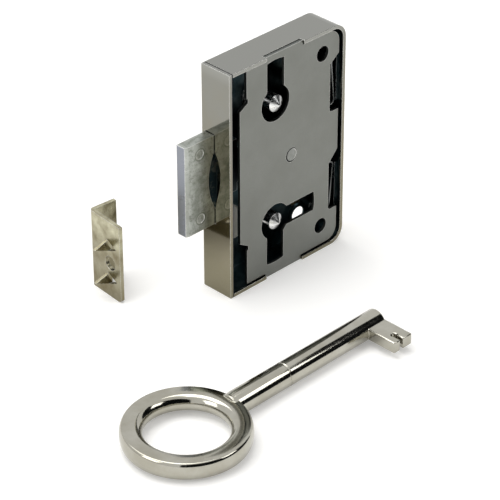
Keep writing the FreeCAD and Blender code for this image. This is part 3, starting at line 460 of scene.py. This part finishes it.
def bolt_marks(finish, low, high, tint):
    """Painted shade in the gap where the bolt leaves the forend and in its scoop, and the ejectors'
    rings.
    """
    # Painted shade in the gap where the bolt leaves the forend
    mouth_low = Vector((low.x + MOUTH_START, low.y - MILLIMETRE, low.z - MILLIMETRE))
    mouth_high = Vector((low.x + MOUTH_END, high.y, high.z + MILLIMETRE))
    tint = finish.mix(inside_box(finish, mouth_low, mouth_high), tint, GAP_SHADE)
    # Painted shade in the scoop, in darker and lighter patches
    scoop_low = Vector((low.x + SCOOP_START, low.y + 0.12 * MILLIMETRE, SCOOP_LOW))
    scoop_high = Vector((low.x + SCOOP_END, high.y, SCOOP_HIGH))
    spots = finish.spread(finish.noise(finish.where(), 2.4 * MILLIMETRE, 3), 0.50, 0.60)
    painted_shade = finish.mix(spots, INSIDE_SHADE_DARK, CAST_DARK)
    tint = finish.mix(inside_box(finish, scoop_low, scoop_high), tint, painted_shade)
    for height in EJECTOR_HEIGHTS:
        ring = ring_mark(finish, (low.x + EJECTOR_PLACE, low.y, height), EJECTOR_RADIUS)
        tint = finish.mix(ring, tint, CAST_DARK)
    return tint


def cast_metal():
    """Plated die casting: mottled, with soft flow marks, pits, painted highlights on its edges, a lighter
    band near the end, a bluer grey end face and painted shade inside the case.
    """
    low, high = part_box("bolt")
    finish = new_finish("cast_metal")
    place = finish.where()
    blotch = finish.noise(place, 3.4 * MILLIMETRE, 7, 0.78)
    fine = finish.noise(place, 0.9 * MILLIMETRE, 5, 0.75)
    flow = finish.noise(finish.where(stretch=(1, 1, 0.35)), 5.5 * MILLIMETRE, 3)
    cells = finish.add("TexVoronoi", {"Vector": place, "Scale": 1 / (0.7 * MILLIMETRE)}, feature="F1")
    mottle = finish.math("MULTIPLY", finish.math("ADD", blotch, flow), 0.5)
    tint = finish.mix(finish.spread(mottle, 0.36, 0.58), CAST_DARK, CAST_LIGHT)
    tint = finish.mix(finish.spread(fine, 0.48, 0.66, 0, 0.85), tint, CAST_DARK)
    along = finish.math("SUBTRACT", finish.parts(place)[0], low.x)
    bevel = finish.spread(along, 0.70 * MILLIMETRE, 0.95 * MILLIMETRE, 0.6, 0)
    tint = finish.mix(bevel, tint, CAST_LIGHT)
    end_face = finish.spread(along, 0.02 * MILLIMETRE, 0.10 * MILLIMETRE, 1, 0)
    tint = finish.mix(end_face, tint, CAST_END)
    # Painted shade on the part of the bolt inside the case
    in_case_shade = finish.spread(along, 9.3 * MILLIMETRE, 10.5 * MILLIMETRE)
    tint = finish.mix(in_case_shade, tint, INSIDE_SHADE_LIGHT)
    tint = bolt_marks(finish, low, high, tint)
    uneven = finish.spread(fine, 0.35, 0.65, 1.0, 0.5)
    # Painted highlights along the edges
    colour = finish.mix(finish.both(finish.edges(0.34 * MILLIMETRE), uneven), tint, CAST_HIGHLIGHT)
    rough = finish.spread(mottle, 0.35, 0.65, 0.38, 0.25)
    pits = finish.spread(cells.outputs["Distance"], 0.0, 0.25, 0, 0.35)
    relief = finish.math("ADD", blotch, pits)
    return finish.metal(colour, rough, finish.bumps(relief, 0.016 * MILLIMETRE, 0.2 * MILLIMETRE))


def strike_nickel():
    """Thin nickel over stamped sheet: beige, clouded brown, painted light on its upper part and painted
    highlights on its edges.
    """
    finish = new_finish("strike_nickel")
    place = finish.where()
    cloud = finish.noise(place, 5.5 * MILLIMETRE, 4, 0.6)
    hair = finish.noise(finish.where(stretch=(1, 1, 0.1)), 0.3 * MILLIMETRE, 4)
    # Painted light: the upper part is lighter
    upper = finish.spread(finish.parts(place)[2], 9 * MILLIMETRE, 19 * MILLIMETRE)
    light = finish.mix(upper, STRIKE_LIGHT, STRIKE_TOP_LIT)
    tint = finish.mix(finish.spread(cloud, 0.30, 0.66), STRIKE_DARK, light)
    # Painted highlights along the edges
    edge_highlight = finish.edges(0.2 * MILLIMETRE)
    colour = finish.mix(finish.math("MULTIPLY", edge_highlight, 0.7), tint, HIGHLIGHT_PALE)
    polish = finish.spread(cloud, 0.3, 0.7, 0.16, 0.26)
    rough = finish.math("ADD", polish, finish.spread(hair, 0.4, 0.8, 0, 0.05))
    relief = finish.math("ADD", finish.math("MULTIPLY", hair, 0.3), cloud)
    return finish.metal(colour, rough, finish.bumps(relief, 0.006 * MILLIMETRE, 0.16 * MILLIMETRE))


def key_nickel():
    """Polished nickel of the key: near mirror, softly clouded, with fine specks where it was handled."""
    finish = new_finish("key_nickel")
    place = finish.where()
    cloud = finish.noise(place, 7 * MILLIMETRE, 3)
    hair = finish.noise(finish.where(stretch=(0.12, 1, 1)), 0.28 * MILLIMETRE, 4)
    speck = finish.noise(place, 0.5 * MILLIMETRE, 4, 0.75)
    tint = finish.mix(finish.spread(cloud, 0.35, 0.65), KEY_DARK, KEY_LIGHT)
    tint = finish.mix(finish.spread(speck, 0.55, 0.8, 0, 0.3), tint, KEY_DARK)
    polish = finish.spread(cloud, 0.3, 0.7, 0.07, 0.11)
    rough = finish.math("ADD", polish, finish.spread(speck, 0.45, 0.8, 0, 0.07))
    relief = finish.math("ADD", finish.math("MULTIPLY", hair, 0.3), finish.math("MULTIPLY", speck, 0.6))
    return finish.metal(tint, rough, finish.bumps(relief, 0.003 * MILLIMETRE, 0.2 * MILLIMETRE))


def dress(node, material):
    """Gives a CAD node one finish all over."""
    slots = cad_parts[node].data.materials
    slots.clear()
    slots.append(material)


def dress_everything():
    """Every CAD node gets the finish of its metal. Gives back the material of each node."""
    # Springs, levers and brass wards take colours far darker than their metals: painted shade of the
    # case's inside
    spring = stamped_steel("tempered_spring", SPRING_LIGHT, SPRING_DARK, (1, 1, 0.08), 0.22, 0.34, 0.5,
                           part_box("upper_spring")[0].y)
    lever = stamped_steel("lever_steel", LEVER_LIGHT, LEVER_DARK, (0.08, 1, 1), 0.30, 0.45, 0.4)
    brass = stamped_steel("ward_brass", BRASS_LIGHT, BRASS_DARK, (0.2, 1, 1), 0.25, 0.38, 0.3)
    finishes = {
        "case_tray": rolled_nickel(),
        "cover_plate": satin_plate(),
        "centre_rivet": rivet_head(),
        "bolt": cast_metal(),
        "key": key_nickel(),
        "strike_plate": strike_nickel(),
    }
    for side in ("upper", "lower"):
        finishes[side + "_spring"] = spring
        finishes[side + "_lever"] = lever
        finishes[side + "_ward_bridge"] = brass
    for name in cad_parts:
        if name not in finishes:
            finishes[name] = turned_pin(name)
    for name, material in finishes.items():
        dress(name, material)
    return finishes


# The key is smoother than flat bevels can be, so its skin is made here in the place of the CAD key

def ring_section():
    """The bow's section as (radius, height): flat on top, tight outside, full and round inside."""
    steps = 56
    points = []
    for step in range(steps):
        angle = 2 * math.pi * step / steps
        across, up = math.cos(angle), math.sin(angle)
        if across > 0:
            power = 2 / BOW_OUTER_POWER
            radius = BOW_FLAT_OUTER + (BOW_RADIUS - BOW_FLAT_OUTER) * across ** power
        else:
            power = 2 / BOW_INNER_POWER
            radius = BOW_FLAT_INNER - (BOW_FLAT_INNER - BOW_HOLE_RADIUS) * (-across) ** power
        points.append((radius, BOW_HALF_THICK * math.copysign(abs(up) ** power, up)))
    return points


def shank_section():
    """The shank's section as (along, radius), from inside the bow round the end into the bore."""
    curve = [(SHANK_START, 0.0)]
    for away, depth in ((0, 0.15), (0.9, 0.13), (1.6, 0)):
        curve.append((SHANK_START + away, SHANK_RADIUS - depth))
    for away, depth in ((-0.3, 0), (-0.12, LINE_DEPTH), (0.12, LINE_DEPTH), (0.3, 0)):
        curve.append((LINE_PLACE + away, SHANK_RADIUS - depth))
    steps = 6
    for step in range(steps + 1):
        angle = math.pi / 2 * step / steps
        curve.append((KEY_LENGTH - SHANK_ROUND + SHANK_ROUND * math.sin(angle),
                      SHANK_RADIUS - SHANK_ROUND + SHANK_ROUND * math.cos(angle)))
    curve += [(KEY_LENGTH, BORE_RADIUS + BORE_ROUND), (KEY_LENGTH - BORE_ROUND, BORE_RADIUS)]
    return curve + [(KEY_LENGTH - BORE_DEPTH, BORE_RADIUS), (KEY_LENGTH - BORE_DEPTH - BORE_TIP, 0.0)]


def revolve(shape, section, place, steps, closed):
    """Adds a turned skin: place(first, second, angle) gives each point of the turned section."""
    rows = []
    for step in range(steps):
        angle = 2 * math.pi * step / steps
        rows.append([shape.verts.new(place(first, second, angle)) for first, second in section])
    last = len(section) if closed else len(section) - 1
    for step in range(steps):
        here, there = rows[step], rows[(step + 1) % steps]
        for index in range(last):
            after = (index + 1) % len(section)
            shape.faces.new((here[index], there[index], there[after], here[after]))


def bit_outline():
    """The bit seen from above: its ward slit comes in from the end to a small round hole."""
    near_end = KEY_LENGTH - BIT_WIDTH
    middle = KEY_LENGTH - SLIT_PLACE
    points = [(near_end, -BIT_ROOT), (near_end, -BIT_REACH), (middle - SLIT_HALF, -BIT_REACH)]
    steps = 10
    for step in range(steps + 1):
        angle = math.radians(SLIT_OPENING + (360 - 2 * SLIT_OPENING) * step / steps)
        points.append((middle - SLIT_HOLE_RADIUS * math.sin(angle),
                       -SLIT_END - SLIT_HOLE_RADIUS * math.cos(angle)))
    return points + [(middle + SLIT_HALF, -BIT_REACH), (KEY_LENGTH, -BIT_REACH), (KEY_LENGTH, -BIT_ROOT)]


def key_shape():
    """The turned bow and shank and the cut bit in one mesh, in its place in the frame."""
    shape = bmesh.new()
    bow_steps, shank_steps = 160, 72
    revolve(shape, ring_section(), lambda r, z, a: (r * math.cos(a), r * math.sin(a), z), bow_steps, True)
    revolve(shape, shank_section(), lambda x, r, a: (x, r * math.cos(a), r * math.sin(a)),
            shank_steps, False)
    bmesh.ops.remove_doubles(shape, verts=shape.verts, dist=0.001)
    for face in shape.faces:
        face.smooth = True
    low_face = shape.faces.new([shape.verts.new((x, y, -BIT_HALF_THICK)) for x, y in bit_outline()])
    pushed = bmesh.ops.extrude_face_region(shape, geom=[low_face])["geom"]
    raised = [item for item in pushed if isinstance(item, bmesh.types.BMVert)]
    bmesh.ops.translate(shape, vec=(0, 0, 2 * BIT_HALF_THICK), verts=raised)
    bmesh.ops.recalc_face_normals(shape, faces=shape.faces)
    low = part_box("key")[0]
    turn = Matrix.Rotation(math.radians(KEY_TURN), 4, "Z")
    centre = (low.x / MILLIMETRE + BOW_RADIUS, low.y / MILLIMETRE + BOW_RADIUS, SHANK_RADIUS)
    bmesh.ops.transform(shape, matrix=turn, verts=shape.verts)
    bmesh.ops.translate(shape, vec=centre, verts=shape.verts)
    bmesh.ops.scale(shape, vec=(MILLIMETRE,) * 3, verts=shape.verts)
    return shape


def make_key_skin(material):
    """The key as one piece of polished skin with eased edges, which rides on the key's body."""
    shape = key_shape()
    mesh = bpy.data.meshes.new("key_skin")
    shape.to_mesh(mesh)
    shape.free()
    mesh.set_sharp_from_angle(angle=math.radians(KEY_SHARP_ANGLE))
    mesh.materials.append(material)
    skin = bpy.data.objects.new("key_skin", mesh)
    bpy.context.scene.collection.objects.link(skin)
    eased = skin.modifiers.new("eased_edges", "BEVEL")
    eased.width = KEY_EDGE * MILLIMETRE
    eased.segments = 3
    eased.limit_method = "ANGLE"
    eased.angle_limit = math.radians(KEY_EASED_ANGLE)
    eased.harden_normals = False
    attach(skin, "key")
    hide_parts("key")


def make_camera():
    """The photograph's camera: its place, direction, small roll and long lens."""
    data = bpy.data.cameras.new("camera")
    data.lens = CAMERA_LENS
    data.sensor_width = CAMERA_SENSOR
    data.clip_start = 0.01
    data.clip_end = 20
    camera = bpy.data.objects.new("camera", data)
    bpy.context.scene.collection.objects.link(camera)
    turn = Matrix.Rotation(math.radians(CAMERA_AZIMUTH), 4, "Z")
    tilt = Matrix.Rotation(math.radians(90 - CAMERA_ELEVATION), 4, "X")
    roll = Matrix.Rotation(math.radians(CAMERA_ROLL), 4, "Z")
    camera.matrix_world = Matrix.Translation(CAMERA_PLACE) @ turn @ tilt @ roll
    bpy.context.scene.camera = camera


def softbox(name, place, target, width, height, strength):
    """A rectangular lamp that faces a target."""
    data = bpy.data.lights.new(name, "AREA")
    data.shape = "RECTANGLE"
    data.size = width
    data.size_y = height
    data.energy = strength
    lamp = bpy.data.objects.new(name, data)
    bpy.context.scene.collection.objects.link(lamp)
    lamp.location = place
    lamp.rotation_mode = "QUATERNION"
    lamp.rotation_quaternion = (Vector(target) - Vector(place)).to_track_quat("-Z", "Y")


def plane(name, centre, across, up, material):
    """A flat rectangle of the stage, from its centre and two half sides."""
    mesh = bpy.data.meshes.new(name)
    shape = bmesh.new()
    middle, across, up = Vector(centre), Vector(across), Vector(up)
    corners = ((-1, -1), (1, -1), (1, 1), (-1, 1))
    shape.faces.new([shape.verts.new(middle + a * across + u * up) for a, u in corners])
    shape.to_mesh(mesh)
    shape.free()
    mesh.materials.append(material)
    made = bpy.data.objects.new(name, mesh)
    bpy.context.scene.collection.objects.link(made)
    return made


def background_rays(finish):
    """One for rays that see the background: the camera's, and those off metal or through glass."""
    rays = finish.add("LightPath").outputs
    both = finish.math("ADD", rays["Is Camera Ray"], rays["Is Glossy Ray"])
    return finish.math("ADD", both, rays["Is Transmission Ray"], clamp=True)


def floor_paper():
    """Pale paper that glows a little for the background's rays, so that it shows white with a shadow."""
    finish = new_finish("floor_paper")
    fibre = finish.noise(finish.where(), 0.6 * MILLIMETRE, 3)
    colour = finish.mix(finish.spread(fibre, 0.3, 0.7), FLOOR_WARM, FLOOR_PALE)
    paper = finish.add("BsdfDiffuse", {"Color": colour})
    level = finish.math("MULTIPLY", background_rays(finish), FLOOR_GLOW)
    glow = finish.add("Emission", {"Strength": level})
    return finish.end(finish.add("AddShader", {0: paper.outputs[0], 1: glow.outputs[0]}))


def dark_card():
    """The unlit side of the room, which polished metal reflects as its dark streaks."""
    finish = new_finish("dark_card")
    return finish.end(finish.add("BsdfDiffuse", {"Color": CARD_BLACK}))


def make_world():
    """White behind everything, and a plainer level of light on the object."""
    finish = Finish(bpy.data.worlds.new("world"))
    level = finish.spread(background_rays(finish), 0, 1, WORLD_LEVEL, 1.0)
    sky = finish.add("Background", {"Color": WHITE, "Strength": level})
    bpy.context.scene.world = finish.end(sky, "OutputWorld")


def make_stage():
    """Floor, the dark side of the room as cards that only reflections see, and the lamps."""
    plane("floor", (0, 0, -FLOOR_DROP), (FLOOR_HALF, 0, 0), (0, FLOOR_HALF, 0), floor_paper())
    black = dark_card()
    for name, centre, across, up in CARDS:
        card = plane(name, centre, across, up, black)
        card.visible_camera = False
        card.visible_diffuse = False
        card.visible_shadow = False
    for lamp in LAMPS:
        softbox(*lamp)


finishes = dress_everything()
make_key_skin(finishes["key"])
make_camera()
make_world()
make_stage()
bpy.context.scene.view_settings.view_transform = "Standard"
